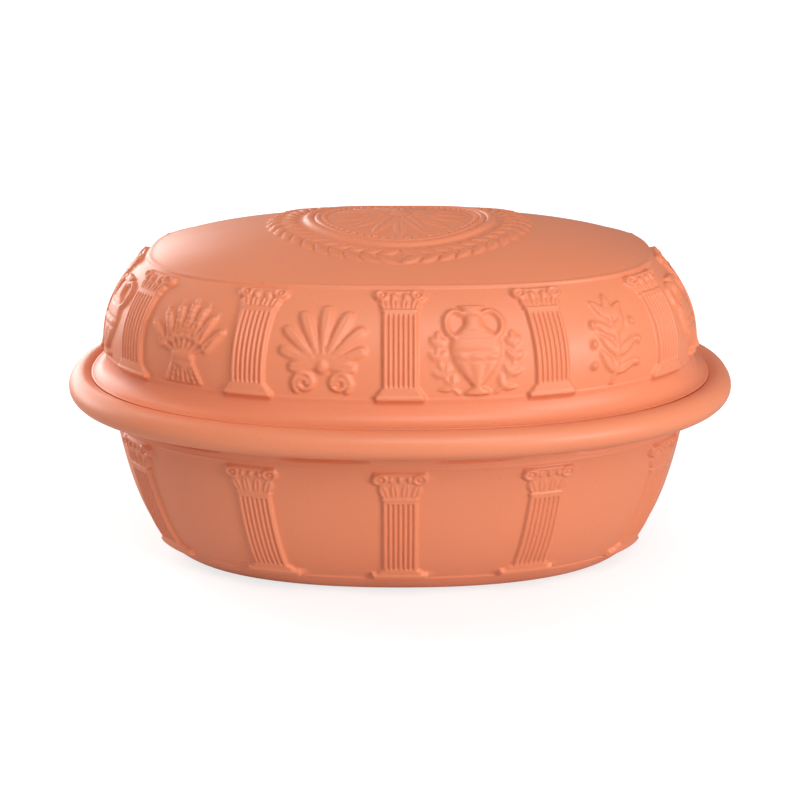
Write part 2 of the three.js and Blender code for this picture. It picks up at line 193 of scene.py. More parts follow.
# Grids: cells up each stretch of a wall, from its foot, and across its panels. Rows are fine from a
# margin below and above the plinths and capitals.
BASE_CELLS = (2.2, 0.5, 1.5, 0.45, 0.6)
LID_CELLS = (0.5, 0.8, 0.45, 0.6, 0.3)
BASE_PANEL_CELL = 3.6
LID_PANEL_CELL = 0.75
BASE_FINE_BELOW = 4.0
BASE_FINE_ABOVE = 3.0
LID_FINE = 2.0
HEAD_FINE = 1.0
CREASE_FINE = 1.6
SIDE_CELLS = (0.45, 0.65)
SMOOTHING = 6
PLAIN_COLUMNS = 260
BASE_INSIDE_RINGS = 26
LID_INSIDE_RINGS = 20
LID_FOOT_RINGS = 24
FOOT_RINGS = (40.0, 20.0, FOOT_RECESS)
FLOOR_RINGS = (10.0, 24.0, 40.0)
HOLLOW_SHARES = np.linspace(0.06, 1, 14)[:-1]
DOME_COLUMNS = 420
# Rings of the dome, as shares of the way from the crease to the medallion.
DOME_SHARES = np.concatenate([[0.012, 0.03], np.linspace(0.06, 0.36, 8), np.linspace(0.37, 1.0, 40)])
# Stretches of the medallion: inner and outer share, cell, and one in how many columns is kept.
MEDALLION_STRETCHES = ((0.66, 1.0, 0.55, 1), (0.34, 0.66, 0.8, 2), (0.05, 0.34, 0.9, 4))

# Margins of the flat layout: between its charts, and round all of it as a share.
CHART_MARGIN = 4.0
LAYOUT_MARGIN = 0.005

# Small values that keep divisors above zero, and a small turn for slopes.
TINY = 1e-6
TINIER = 1e-12
NUDGE = 1e-4


class Pilaster:
    """Sizes of one kind of pilaster: widths, and heights up the wall."""

    def __init__(self, foot, slab, step, head, capital, beads, lift):
        self.foot = foot
        self.head = head
        self.slab_top = foot + slab
        self.shaft_low = foot + slab + step
        self.shaft_high = head - capital
        self.beads = beads
        self.lift = lift

    def widths(self, plinth, step, shaft, capital, scroll):
        self.plinth_half = plinth / 2
        self.step_half = step / 2
        self.shaft_half = shaft / 2
        self.capital_half = capital / 2
        self.scroll = scroll
        self.reach = max(plinth, capital) / 2 + FOLD


def ease(t):
    t = np.clip(t, 0, 1)
    return t * t * (3 - 2 * t)


def inside(depth, fold):
    """1 within an edge and 0 outside it, turning over a fold of that width."""
    return ease(depth / fold + 0.5)


def lump(d):
    """A round rise: 1 in the middle and 0 from a distance of 1 on."""
    return np.sqrt(np.clip(1 - d * d, 0, 1))


def highest(*rises):
    return functools.reduce(np.maximum, rises)


class Curve:
    """A curve of inset against height, read by the length along it."""

    def __init__(self, points):
        self.points = np.asarray(points, float)
        steps = np.hypot(*np.diff(self.points, axis=0).T)
        self.done = np.concatenate([[0], np.cumsum(steps)])
        self.length = self.done[-1]

    def at(self, up):
        return np.stack([np.interp(up, self.done, self.points[:, k]) for k in (0, 1)], -1)

    def slope(self, up, parts=500):
        reach = self.length / parts
        low = np.clip(np.asarray(up, float) - reach, 0, self.length)
        high = np.clip(np.asarray(up, float) + reach, 0, self.length)
        way = self.at(high) - self.at(low)
        return way / np.linalg.norm(way, axis=-1, keepdims=True)


def bezier(p0, p1, p2, p3, count=801):
    t = np.linspace(0, 1, count)[:, None]
    s = 1 - t
    p0, p1, p2, p3 = (np.asarray(p, float) for p in (p0, p1, p2, p3))
    return s**3 * p0 + 3 * s * s * t * p1 + 3 * s * t * t * p2 + t**3 * p3


def sweep(start, start_angle, start_reach, end, end_angle, end_reach):
    """A curve that leaves its start and reaches its end at given angles."""
    leave = np.add(start, np.multiply(start_reach, (math.cos(start_angle), math.sin(start_angle))))
    arrive = np.subtract(end, np.multiply(end_reach, (math.cos(end_angle), math.sin(end_angle))))
    return Curve(bezier(start, leave, arrive, end))


def base_wall_curve(foot, head):
    reach = BASE_WALL_FULLNESS * (head[1] - foot[1])
    return sweep(foot, math.pi - HEEL_ANGLE, HEEL_REACH, head, math.pi / 2 + BASE_WALL_LEAN, reach)


def lid_wall_curve(foot, head):
    rise = head[1] - foot[1]
    start = math.pi / 2 - LID_WALL_LEAN
    return sweep(foot, start, LID_WALL_FULLNESS * rise, head, CREASE_ANGLE, CREASE_FULLNESS * rise)


def base_power(z):
    return np.full_like(np.asarray(z, float), RIM_POWER)


def lid_power(z):
    share = np.clip((np.asarray(z, float) - lid_foot_z) / (crease[1] - lid_foot_z), 0, 1)
    return RIM_POWER + (CREASE_POWER - RIM_POWER) * share


def oval(a, b, power, angle):
    """Points of a superellipse at turning angles, and its outward direction there."""
    c, s = np.cos(angle), np.sin(angle)
    reach = (np.abs(c) ** power + np.abs(s) ** power) ** (-1 / power)
    x, y = a * c * reach, b * s * reach
    nx = np.sign(x) * np.abs(x / a) ** (power - 1) / a
    ny = np.sign(y) * np.abs(y / b) ** (power - 1) / b
    size = np.hypot(nx, ny)
    return x, y, nx / size, ny / size


def ring_sizes(inset):
    return PART_LENGTH / 2 - inset, PART_WIDTH / 2 - inset


def arcs_to_angles(inset, power, arcs_for, steps=7200):
    """Turning angles at lengths round an oval, walked from the middle of its front."""
    stops = FRONT + np.linspace(0, 2 * math.pi, steps + 1)
    x, y, _, _ = oval(*ring_sizes(inset), power, stops)
    done = np.concatenate([[0], np.cumsum(np.hypot(np.diff(x), np.diff(y)))])
    arcs = np.asarray(arcs_for(done[-1]), float)
    turns = np.floor(arcs / done[-1])
    return np.interp(arcs - turns * done[-1], done, stops) + 2 * math.pi * turns


def even_angles(count, start):
    first = arcs_to_angles(0, RIM_POWER, lambda whole: np.arange(count) * whole / count)
    return first + (start - FRONT)


def graded(stops, cells):
    """Places between stops, with about the given cell size in each stretch."""
    runs = [
        np.linspace(a, b, max(1, round((b - a) / cell)), endpoint=False)
        for a, b, cell in zip(stops, stops[1:], cells)
    ]
    return np.concatenate(runs + [[stops[-1]]])


class Skin:
    """A closed skin, built ring by ring from one pole to the other."""

    def __init__(self):
        self.points, self.turns, self.runs = [], [], []
        self.quads, self.triangles = [], []
        self.quad_charts, self.triangle_charts = [], []
        self.total = 0
        self.tip = None
        self.last = None
        self.run = 0.0

    def put(self, points, turns):
        first = self.total
        self.points.append(points)
        self.turns.append(np.asarray(turns, float))
        self.runs.append(np.full(len(points), self.run))
        self.total += len(points)
        return first

    def add_triangles(self, faces, chart):
        self.triangles.append(faces)
        self.triangle_charts.extend([chart] * len(faces))

    def add_quads(self, faces, chart):
        self.quads.append(faces)
        self.quad_charts.extend([chart] * len(faces))

    def pole(self, z, chart):
        """A middle point that closes the skin at its start or its end."""
        tip = self.put(np.array([[0.0, 0.0, z]]), [0.0])
        if self.last is None:
            self.tip = tip
            return
        first, turns, _ = self.last
        count = len(turns)
        j = np.arange(count)
        faces = np.stack([np.full(count, tip), first + j, first + (j + 1) % count], -1)
        self.add_triangles(faces, chart)

    def ring(self, points, turns, chart):
        """The next ring of points, joined to the ring or the pole before it."""
        if self.last is not None:
            self.run += np.linalg.norm(points[0] - self.last[2][0])
        first = self.put(points, turns)
        count = len(points)
        j = np.arange(count)
        k = (j + 1) % count
        if self.last is None:
            self.add_triangles(np.stack([np.full(count, self.tip), first + k, first + j], -1), chart)
        elif len(self.last[1]) == count:
            old = self.last[0]
            self.add_quads(np.stack([old + j, old + k, first + k, first + j], -1), chart)
        else:
            self.add_triangles(self.bridge(self.last[0], self.last[1], first, turns), chart)
        self.last = (first, np.asarray(turns, float), points)

    def bridge(self, first_a, turns_a, first_b, turns_b):
        """Triangles between two rings with different numbers of points."""
        a = np.append(turns_a, turns_a[0] + 2 * math.pi)
        b = np.append(turns_b, turns_b[0] + 2 * math.pi)
        i = j = 0
        faces = []
        while i < len(turns_a) or j < len(turns_b):
            here_a, here_b = first_a + i % len(turns_a), first_b + j % len(turns_b)
            if j == len(turns_b) or (i < len(turns_a) and a[i + 1] <= b[j + 1]):
                faces.append((here_a, first_a + (i + 1) % len(turns_a), here_b))
                i += 1
            else:
                faces.append((here_a, first_b + (j + 1) % len(turns_b), here_b))
                j += 1
        return np.array(faces)

    def sweep(self, section, power, turns, chart):
        """Plain rings along a section of insets and heights."""
        for inset, z in section:
            x, y, _, _ = oval(*ring_sizes(inset), power(z), turns)
            self.ring(np.stack([x, y, np.full_like(x, z)], -1), turns, chart)

    def rows(self, wall):
        """A ring for each row of a wall's grid."""
        for row in range(len(wall.ups)):
            self.ring(wall.points(row), wall.angle[row], "strip_wall")

    def mesh(self, name):
        points = np.concatenate(self.points)
        quads, triangles = np.concatenate(self.quads), np.concatenate(self.triangles)
        corners = np.concatenate([quads.ravel(), triangles.ravel()])
        sides = np.concatenate([np.full(len(quads), 4), np.full(len(triangles), 3)])
        starts = np.concatenate([[0], np.cumsum(sides)[:-1]])
        mesh = bpy.data.meshes.new(name)
        mesh.vertices.add(len(points))
        mesh.vertices.foreach_set("co", (points * SCALE).astype(np.float32).ravel())
        mesh.loops.add(len(corners))
        mesh.loops.foreach_set("vertex_index", corners.astype(np.int32))
        mesh.polygons.add(len(sides))
        mesh.polygons.foreach_set("loop_start", starts.astype(np.int32))
        mesh.polygons.foreach_set("use_smooth", np.ones(len(sides), bool))
        mesh.update(calc_edges=True)
        layer = mesh.uv_layers.new(name="OFBake")
        uv = self.layout(points, corners, sides, starts)
        layer.data.foreach_set("uv", uv.astype(np.float32).ravel())
        mesh.validate()
        return mesh

    def layout(self, points, corners, sides, starts):
        """A flat layout: plans for tops and floors, and strips in two halves for walls."""
        charts = np.array(self.quad_charts + self.triangle_charts)
        face = np.repeat(np.arange(len(sides)), sides)
        turn = np.concatenate(self.turns)[corners] - FRONT
        most = np.maximum.reduceat(turn, starts)[face]
        turn = np.where(most - turn > math.pi, turn + 2 * math.pi, turn)
        middle = (np.add.reduceat(turn, starts) / sides)[face]
        runs = np.concatenate(self.runs)[corners]
        radius = (PART_LENGTH + PART_WIDTH) / 4
        uv = np.zeros((len(corners), 2))
        left = bottom = 0.0
        for chart in sorted(set(charts)):
            mine = (charts == chart)[face]
            if chart.startswith("plan"):
                flat = points[corners[mine]][:, :2]
                uv[mine] = flat - flat.min(0) + (left, bottom)
                left += np.ptp(flat[:, 0]) + CHART_MARGIN
                tall = np.ptp(flat[:, 1])
                continue
            half = (middle[mine] >= math.pi).astype(float)
            run = runs[mine]
            tall_strip = np.ptp(run) + CHART_MARGIN
            if left:
                bottom += tall + CHART_MARGIN
                left = 0.0
            uv[mine, 0] = (turn[mine] - half * math.pi) * radius + CHART_MARGIN
            uv[mine, 1] = run - run.min() + bottom + half * tall_strip
            bottom += 2 * tall_strip
        uv = (uv - uv.min(0)) / np.ptp(uv, axis=0).max()
        return uv * (1 - 2 * LAYOUT_MARGIN) + LAYOUT_MARGIN


def pilaster_columns(size):
    """Lengths across a pilaster: one column on each rib, five to each flute, and even ones at its sides."""
    pitch = 2 * size.shaft_half / RIBS
    ribs = (np.arange(RIBS) - (RIBS - 1) / 2) * pitch
    flutes = (ribs[:-1] + ribs[1:]) / 2
    shares = np.array(FLUTE_COLUMNS) * FLUTE_SHARE
    middle = np.concatenate([ribs, (flutes[:, None] + pitch * shares).ravel()])
    side = graded([ribs[-1], size.shaft_half + FOLD, size.reach], SIDE_CELLS)[1:]
    return np.sort(np.concatenate([-side, middle, side]))


class Wall:
    """A fine grid over a wall: rows up its curve, columns that follow its pilasters."""

    def __init__(self, curve, power, ups, size, centres, panel_cell):
        self.ups = ups
        self.place = curve.at(ups)
        self.slope = curve.slope(ups)
        self.power = power(self.place[:, 1])
        self.size = size
        self.across = pilaster_columns(size)
        self.a, self.b = ring_sizes(self.place[:, 0])
        self.lay_columns(np.sort(centres), panel_cell)
        powers = self.power[:, None] + np.zeros(self.angle.shape)
        self.x, self.y, self.nx, self.ny = oval(self.a[:, None], self.b[:, None], powers, self.angle)
        self.relief = np.zeros(self.angle.shape)

    def sides(self, centre):
        """Turning angles of a pilaster's left and right sides, row by row."""
        x0, y0, _, _ = oval(self.a, self.b, self.power, centre - NUDGE)
        x1, y1, _, _ = oval(self.a, self.b, self.power, centre + NUDGE)
        speed = np.hypot(x1 - x0, y1 - y0) / (2 * NUDGE)
        return centre + self.across[0] / speed, centre + self.across[-1] / speed

    def lay_columns(self, centres, panel_cell):
        """Turning angles of the columns: those of each pilaster, then of the panel after it."""
        sides = [self.sides(centre) for centre in centres]
        own = (self.across - self.across[0]) / (self.across[-1] - self.across[0])
        middle = np.mean(ring_sizes(np.mean(self.place[:, 0])))
        columns = []
        self.slices, self.panels = [], []
        done = 0
        for k, (left, right) in enumerate(sides):
            columns.append(left[:, None] + (right - left)[:, None] * own)
            self.slices.append(slice(done, done + len(own)))
            done += len(own)
            after = (k + 1) % len(sides)
            end = sides[after][0] + (2 * math.pi if after == 0 else 0)
            count = max(3, round(np.mean(end - right) * middle / panel_cell))
            columns.append(right[:, None] + (end - right)[:, None] * (np.arange(1, count) / count))
            self.panels.append(slice(done, done + count - 1))
            done += count - 1
        self.angle = np.concatenate(columns, axis=1)

    def pilasters(self):
        rise = pilaster_relief(self.across[None, :], self.ups[:, None], self.size)
        for part in self.slices:
            self.relief[:, part] = np.maximum(self.relief[:, part], rise)

    def panel_across(self, part):
        """Lengths across a panel, from its middle."""
        xs = self.x[:, part.start - 1:part.stop + 1]
        ys = self.y[:, part.start - 1:part.stop + 1]
        steps = np.hypot(np.diff(xs, axis=1), np.diff(ys, axis=1))
        done = np.cumsum(steps, axis=1)
        return done[:, :part.stop - part.start] - done[:, -1:] / 2

    def points(self, row):
        rise = self.relief[row]
        out, up = self.slope[row, 1], self.slope[row, 0]
        x = self.x[row] + self.nx[row] * out * rise
        y = self.y[row] + self.ny[row] * out * rise
        z = np.maximum(0, self.place[row, 1] + up * rise)
        return np.stack([x, y, z], -1)


def blur(h, middle):
    """Softens a grid of heights, less so for a heavier middle; the grid closes on itself sideways."""
    whole = middle + 2
    side = (np.roll(h, 1, 1) + middle * h + np.roll(h, -1, 1)) / whole
    up = np.pad(side, ((1, 1), (0, 0)), mode="edge")
    return (up[:-2] + middle * side + up[2:]) / whole


def shaft_relief(x, y, size):
    pitch = 2 * size.shaft_half / RIBS
    off = np.abs((x / pitch) % 1 - 0.5)
    flute = lump(off / FLUTE_SHARE) * (np.abs(x) < (RIBS - 1) / 2 * pitch)
    cut = inside(np.minimum(y - size.shaft_low - FLUTE_START, size.shaft_high - NECK - y), FOLD)
    rise = SHAFT_PROUD - FLUTE_DEPTH * flute * cut
    within = np.minimum(y - size.shaft_low + FOLD, size.shaft_high - y + FOLD)
    return rise * inside(size.shaft_half - np.abs(x), SIDE_DRAFT) * inside(within, FOLD)


def slab(x, y, half, low, high, proud):
    return proud * inside(half - np.abs(x), FOLD) * inside(np.minimum(y - low, high - y), FOLD)


def plinth_relief(x, y, size):
    """A slab under a step whose sides slope in to the shaft."""
    share = np.clip((y - size.slab_top) / (size.shaft_low - size.slab_top), 0, 1)
    half = size.step_half + (size.shaft_half + FOLD - size.step_half) * share
    proud = SHAFT_PROUD + STEP_PROUD * (1 - share)
    step = slab(x, y, half, size.foot, size.shaft_low, proud)
    return highest(step, slab(x, y, size.plinth_half, size.foot, size.slab_top, PLINTH_PROUD))


def turned(x, y, start, angle):
    """Lengths along a direction and across it, from a start."""
    along = (x - start[0]) * math.cos(angle) + (y - start[1]) * math.sin(angle)
    across = (y - start[1]) * math.cos(angle) - (x - start[0]) * math.sin(angle)
    return along, across


def vein(across, width, depth):
    """What a groove along the middle leaves of a rise."""
    return 1 - depth * np.exp(-((across / width) ** 2))


# Leaves are pointed, widest before their middle, and grooved; the groove's width is a share of theirs.
LEAF_SWELL = 0.8
LEAF_ROUND = 0.9
LEAF_VEIN_WIDTH = 0.14
LEAF_VEIN_DEPTH = 0.45


def leaf(x, y, foot, angle, length, width, proud):
    u, v = turned(x, y, foot, angle)
    t = np.clip(u / length, 0, 1)
    half = width / 2 * np.sin(np.pi * t**LEAF_SWELL) ** LEAF_ROUND + TINY
    body = lump(v / half) * (u > 0) * (u < length)
    return proud * body * vein(v, LEAF_VEIN_WIDTH * width, LEAF_VEIN_DEPTH)


def bead(x, y, middle, rx, ry, proud, angle=0.0):
    u, v = turned(x, y, middle, angle)
    return proud * lump(np.hypot(u / rx, v / ry))


def smooth_line(points, count=12):
    """A line that passes smoothly through its points."""
    p = np.asarray(points, float)
    p = np.concatenate([[2 * p[0] - p[1]], p, [2 * p[-1] - p[-2]]])
    t = np.linspace(0, 1, count, endpoint=False)[:, None]
    runs = []
    for a, b, c, d in zip(p, p[1:], p[2:], p[3:]):
        square = (2 * a - 5 * b + 4 * c - d) * t**2
        cube = (3 * b - a - 3 * c + d) * t**3
        runs.append(0.5 * (2 * b + (c - a) * t + square + cube))
    return np.concatenate(runs + [p[-2:-1]])


def distance(x, y, line):
    """Distance to a line of points."""
    best = np.full(np.broadcast(x, y).shape, np.inf)
    for a, b in zip(line, line[1:]):
        way = b - a
        t = np.clip(((x - a[0]) * way[0] + (y - a[1]) * way[1]) / (way @ way + TINIER), 0, 1)
        best = np.minimum(best, np.hypot(x - a[0] - t * way[0], y - a[1] - t * way[1]))
    return best


def cord(x, y, points, radius, proud):
    """A round cord that passes smoothly through the points."""
    return proud * lump(distance(x, y, smooth_line(points)) / radius)


def scroll_relief(x, y, middle, rx, ry, proud):
    """One scroll of a capital: a rolled rim round a raised eye."""
    d = np.hypot((np.abs(x) - middle[0]) / rx, (y - middle[1]) / ry)
    rim = lump((d - SCROLL_RIM) / SCROLL_ROLL)
    eye = lump(d / SCROLL_ROLL)
    floor = SCROLL_FLOOR * inside((1 - d) * ry, SCROLL_FOLD)
    return proud * highest(floor, rim, eye)


def capital_bell(x, y, size, low, top):
    """The bell under the scrolls, with lobed leaves on it."""
    share = np.clip((y - low) / (top - low), 0, 1)
    bell = slab(x, y, size.shaft_half + BELL_FLARE * share**2, low, size.head, BELL_PROUD)
    tall, wide = LOBE_TALL * (top - low), LOBE_WIDE * size.shaft_half
    lobes = []
    for out, lean in LOBES:
        foot = (out * size.shaft_half, low + LOBE_FOOT)
        lobes.append(leaf(np.abs(x), y, foot, math.radians(lean), tall, wide, CAPITAL_PROUD))
    return highest(bell, *lobes)


def capital_relief(x, y, size):
    """A flat top over two scrolls, beads between them, and a bell of lobed leaves on a neck ring."""
    r = size.scroll
    low, top = size.shaft_high, size.head - ABACUS
    across = inside(size.capital_half - FOLD - np.abs(x), FOLD)
    abacus = ABACUS_PROUD * across * inside(np.minimum(y - top, size.head - y), 2 * FOLD)
    middle = (size.capital_half - SCROLL_LONG * r, size.head - r - SCROLL_DROP)
    scroll = scroll_relief(x, y, middle, SCROLL_LONG * r, SCROLL_TALL * r, SCROLL_PROUD)
    gap = 2 * (middle[0] - r) / size.beads
    beads = []
    for k in range(size.beads):
        place = ((k - (size.beads - 1) / 2) * gap, top - BEAD_DROP * gap)
        beads.append(bead(x, y, place, BEAD_LONG * gap, BEAD_TALL * gap, SCROLL_PROUD))
    ring = lump((y - low) / NECK_RING_HALF) * inside(size.shaft_half + NECK_RING_OUT - np.abs(x), FOLD)
    return highest(abacus, scroll, capital_bell(x, y, size, low, top), *beads, NECK_RING_PROUD * ring)


def pilaster_relief(x, y, size):
    parts = (shaft_relief, plinth_relief, capital_relief)
    return size.lift * highest(*(part(x, y, size) for part in parts))


# Motifs of the lid's panels, from lengths across a panel and up the wall.
MOTIF_FOOT = 2.5
MOTIF_HEIGHT = 44.0
MOTIF_PROUD = 2.0


# Sprigs: shares of a leaf's width, rise and length, and its angles off the stem in degrees.
SPRIG_PAIRS = 4
SPRIG_STEM_RADIUS = 0.22
SPRIG_STEM_PROUD = 0.8
SPRIG_SPREAD = 50
SPRIG_CLOSING = 12
SPRIG_SHORTENING = 0.25
SPRIG_TIP_LENGTH = 0.7
SPRIG_TIP_WIDTH = 0.9


def sprig(x, y, stem, length, width, proud):
    """A stem with pairs of leaves along it and one at its tip. The leaves get shorter and closer to the
    stem on the way up."""
    line = smooth_line(stem)
    rises = [cord(x, y, stem, SPRIG_STEM_RADIUS * width, SPRIG_STEM_PROUD * proud)]
    for k in range(SPRIG_PAIRS):
        share = (k + 0.6) / (SPRIG_PAIRS + 0.3)
        i = min(int(share * (len(line) - 1)), len(line) - 2)
        way = line[i + 1] - line[i]
        lean = math.atan2(way[1], way[0])
        for side in (-1, 1):
            angle = lean + side * math.radians(SPRIG_SPREAD - SPRIG_CLOSING * share)
            size = length * (1 - SPRIG_SHORTENING * share)
            rises.append(leaf(x, y, line[i], angle, size, width, proud))
    way = line[-1] - line[-4]
    lean = math.atan2(way[1], way[0])
    tip = leaf(x, y, line[-4], lean, SPRIG_TIP_LENGTH * length, SPRIG_TIP_WIDTH * width, proud)
    return highest(*rises, tip)


# The jar's outline: heights above its foot, and half widths there.
JAR_HEIGHTS = (0.0, 1.8, 4.0, 6.0, 12.0, 19.0, 25.0, 29.5, 33.0, 38.0, 41.0, MOTIF_HEIGHT - 1)
JAR_HALVES = (6.0, 5.8, 2.4, 3.6, 8.8, 12.0, 11.8, 8.8, 4.8, 4.0, 4.8, 6.6)
JAR_PROUD = 1.2 * MOTIF_PROUD
JAR_ROUND = 0.6
JAR_FOLD = 0.8
JAR_BANDS = (16.0, 20.4, 27.5, 29.6, 38.6)
JAR_BAND_HALF = 0.5
JAR_BAND_CUT = 0.3
JAR_GORES_LOW = 5.5
JAR_GORES_HIGH = 15.0
JAR_GORES = 4
JAR_GORE_LEVEL = 0.7
JAR_GORE_RISE = 0.3
JAR_DOTS_AT = 18.2
JAR_DOTS = 4.5
JAR_DOT_HALF_WIDTH = 0.36
JAR_DOT_HALF_HEIGHT = 1.3
JAR_DOT_PROUD = 0.5
JAR_DOTS_REACH = 0.93
JAR_HANDLE = ((9.6, 27.0), (13.0, 30.5), (13.0, 36.5), (9.0, 40.4), (4.4, 39.0))
JAR_HANDLE_RADIUS = 1.35
JAR_HANDLE_PROUD = 1.05 * MOTIF_PROUD


def jar(x, y):
    """A two-handled jar, with gores above its foot, cut bands and a row of dots."""
    y = y - MOTIF_FOOT
    line = smooth_line(np.stack([JAR_HEIGHTS, JAR_HALVES], -1))
    half = np.interp(y, line[:, 0], line[:, 1])
    tall = inside(np.minimum(y, JAR_HEIGHTS[-1] - y), JAR_FOLD)
    turn = np.arcsin(np.clip(x / half, -1, 1))
    gores = JAR_GORE_LEVEL + JAR_GORE_RISE * np.abs(np.cos(JAR_GORES * turn)) ** 0.7
    gores = np.where((y > JAR_GORES_LOW) & (y < JAR_GORES_HIGH), gores, 1.0)
    bands = sum(np.exp(-(((y - at) / JAR_BAND_HALF) ** 2)) for at in JAR_BANDS)
    rise = JAR_PROUD * lump(x / half) ** JAR_ROUND * gores * (1 - JAR_BAND_CUT * bands) * tall
    spot = JAR_DOTS * turn / np.pi
    off = (spot - np.round(spot)) / JAR_DOT_HALF_WIDTH
    dots = lump(np.hypot(off, (y - JAR_DOTS_AT) / JAR_DOT_HALF_HEIGHT))
    rise = rise + JAR_DOT_PROUD * dots * (np.abs(x) < JAR_DOTS_REACH * half)
    return highest(rise, cord(np.abs(x), y, JAR_HANDLE, JAR_HANDLE_RADIUS, JAR_HANDLE_PROUD))


SIDE_STEM = ((9.0, 0.5), (14.0, 6.0), (17.2, 13.0), (18.4, 21.0), (17.8, 27.0))
SIDE_LEAF_LENGTH = 7.6
SIDE_LEAF_WIDTH = 3.2
SIDE_PROUD = 0.8 * MOTIF_PROUD


def jar_and_sprigs(x, y):
    """The jar between two sprigs."""
    up = y - MOTIF_FOOT
    side = sprig(np.abs(x), up, SIDE_STEM, SIDE_LEAF_LENGTH, SIDE_LEAF_WIDTH, SIDE_PROUD)
    return highest(jar(x, y), side)


OLIVE_STEM = ((-3.0, 0.0), (-0.4, 9.0), (0.8, 19.0), (-0.4, 29.0), (0.4, 36.0))
OLIVE_LEAF_LENGTH = 16.5
OLIVE_LEAF_WIDTH = 5.0
OLIVE_LEAF_PROUD = 1.1 * MOTIF_PROUD
OLIVES = ((11.5, 8.6), (-13.2, 9.6), (13.0, 19.4), (-12.4, 20.0), (11.4, 29.0), (-11.0, 29.4))
OLIVE_HALF_WIDTH = 1.9
OLIVE_HALF_HEIGHT = 2.3
OLIVE_PROUD = 1.2 * MOTIF_PROUD


def olive_spray(x, y):
    """An upright branch with narrow leaves, and fruit between their tips."""
    y = y - MOTIF_FOOT
    branch = sprig(x, y, OLIVE_STEM, OLIVE_LEAF_LENGTH, OLIVE_LEAF_WIDTH, OLIVE_LEAF_PROUD)
    fruit = [bead(x, y, at, OLIVE_HALF_WIDTH, OLIVE_HALF_HEIGHT, OLIVE_PROUD) for at in OLIVES]
    return highest(branch, *fruit)


# The sheaf: its ears spread from a tie, and each has pairs of grains that close in towards its tip.
SHEAF_SIDE_EARS = 3
SHEAF_TIE = 13.0
STRAW_FOOT_STEP = 3.2
STRAW_TIE_STEP = 1.6
EAR_FOOT = 23.0
EAR_FOOT_STEP = 3.9
EAR_FOOT_FALL = 0.6
EAR_TIP = 38.0
EAR_TIP_STEP = 6.3
EAR_TIP_FALL = 1.3
STRAW_PROUD = 0.9 * MOTIF_PROUD
AWN_SHARE = 0.3
AWN_PROUD = 0.6 * MOTIF_PROUD
TIE_HALF_HEIGHT = 2.0
TIE_HALF_WIDTH = 5.8
STRAW_RADIUS = 0.85
AWN_RADIUS = 0.55
GRAIN_PAIRS = 7
GRAIN_HALF_LENGTH = 1.75
GRAIN_HALF_WIDTH = 0.95
GRAIN_OUT = 1.35
GRAIN_CLOSING = 0.12
GRAIN_TURN = 0.5
GRAIN_PROUD = 1.2 * MOTIF_PROUD
TIE_PROUD = 1.3 * MOTIF_PROUD
TIE_FOLD = 0.8
TIE_SIDE_FOLD = 1.0
TWIST_LEVEL = 0.82
TWIST_RISE = 0.18
TWIST_ACROSS = 0.5
TWIST_UP = 0.3


def wheat_ear(x, y, k):
    """One straw of the sheaf with its ear, counted from the middle one."""
    foot = (k * STRAW_FOOT_STEP, 0.0)
    tie = (k * STRAW_TIE_STEP, SHEAF_TIE)
    neck = np.array((k * EAR_FOOT_STEP, EAR_FOOT - EAR_FOOT_FALL * k * k))
    top = np.array((k * EAR_TIP_STEP, EAR_TIP - EAR_TIP_FALL * k * k))
    rises = [cord(x, y, [foot, tie, neck], STRAW_RADIUS, STRAW_PROUD)]
    way = top - neck
    lean = math.atan2(way[1], way[0])
    across = np.array((-math.sin(lean), math.cos(lean)))
    for step in range(GRAIN_PAIRS):
        for side in (-1, 1):
            out = across * side * (GRAIN_OUT - GRAIN_CLOSING * step)
            grain = neck + way * step / (GRAIN_PAIRS - 1) + out
            turn = lean + side * GRAIN_TURN
            rises.append(bead(x, y, grain, GRAIN_HALF_LENGTH, GRAIN_HALF_WIDTH, GRAIN_PROUD, turn))
    awn = [top, top + AWN_SHARE * way]
    return highest(*rises, cord(x, y, awn, AWN_RADIUS, AWN_PROUD))


def wheat_sheaf(x, y):
    """A tied sheaf of seven ears."""
    y = y - MOTIF_FOOT
    ears = [wheat_ear(x, y, k) for k in range(-SHEAF_SIDE_EARS, SHEAF_SIDE_EARS + 1)]
    low, high = SHEAF_TIE - TIE_HALF_HEIGHT, SHEAF_TIE + TIE_HALF_HEIGHT
    sides = inside(TIE_HALF_WIDTH - np.abs(x), TIE_SIDE_FOLD)
    band = inside(np.minimum(y - low, high - y), TIE_FOLD) * sides
    twist = TWIST_LEVEL + TWIST_RISE * np.cos(2 * np.pi * (TWIST_ACROSS * x + TWIST_UP * y))
    return highest(*ears, TIE_PROUD * band * twist)


# The palmette: petals fan out from a heart, shorter to the sides, over two scrolls.
FAN_HEART = (0.0, 13.5)
HEART_HALF_WIDTH = 3.4
HEART_HALF_HEIGHT = 3.8
HEART_PROUD = 1.35 * MOTIF_PROUD
FAN_SIDE_PETALS = 4
FAN_STEP = 23
PETAL_LENGTH = 30.0
PETAL_SHORTENING = 0.85
PETAL_HALF_WIDTH = 3.7
PETAL_VEIN_WIDTH = 0.55
PETAL_VEIN_DEPTH = 0.4
VOLUTE_MIDDLE = (8.4, 5.6)
VOLUTE_REACH = 5.6
VOLUTE_CLOSING = 0.8
VOLUTE_POINTS = 40
VOLUTE_TURN = 3.4 * np.pi
VOLUTE_START = 0.9
VOLUTE_RADIUS = 1.15


def petal(x, y, angle, length):
    """One petal of the palmette, round at its tip and grooved."""
    u, v = turned(x, y, FAN_HEART, angle)
    t = np.clip(u / length, 0, 1)
    half = PETAL_HALF_WIDTH * t**0.75 * np.sqrt(np.clip(1 - t**7, 0, 1)) + TINY
    body = lump(v / half) ** 0.7 * (u > 0) * (u < length)
    return MOTIF_PROUD * body * vein(v, PETAL_VEIN_WIDTH, PETAL_VEIN_DEPTH)


